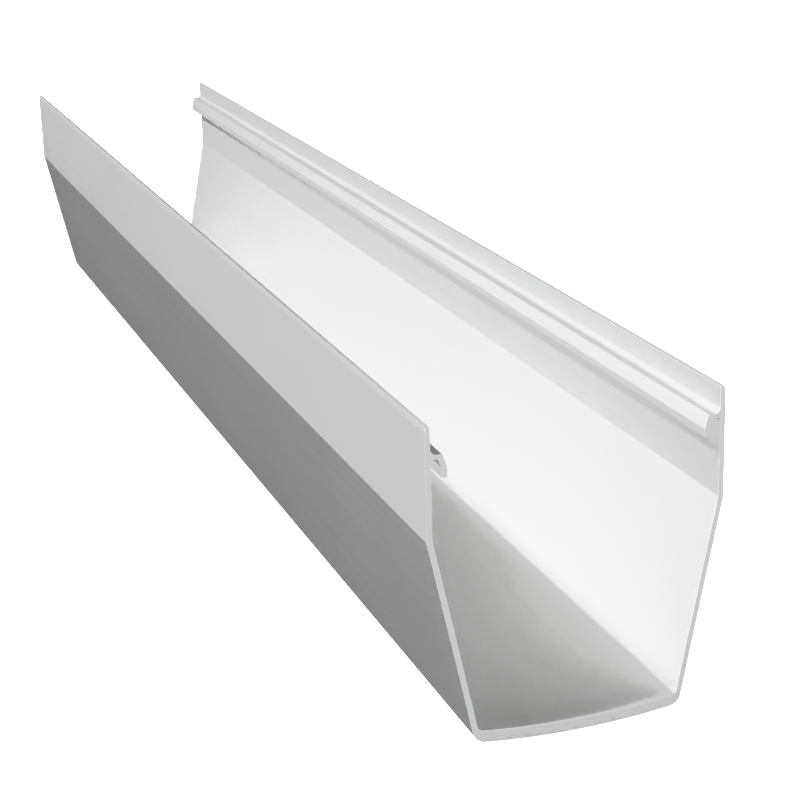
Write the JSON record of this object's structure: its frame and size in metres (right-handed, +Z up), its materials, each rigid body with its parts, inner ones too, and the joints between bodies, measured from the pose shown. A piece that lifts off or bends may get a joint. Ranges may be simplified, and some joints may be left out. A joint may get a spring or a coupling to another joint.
{
  "type": "gutter section",
  "caption": "Straight open rainwater gutter section with vertical upper walls, inward-leaning lower walls, a slightly bowed floor and hooked inner lips under each rim.",
  "frame": {"origin": "middle of the lowest line of the bowed floor, half way between the two sawn ends", "axes": "+Y along the gutter, +X across it, +Z up, out of the open top"},
  "size_m": [0.12, 0.8, 0.1305],
  "materials": {
    "gutter_plastic": "satin light grey rigid PVC, with faint draw lines along its length"
  },
  "bodies": {
    "root": {"gutter_channel": "gutter_plastic"}
  },
  "joints": []
}
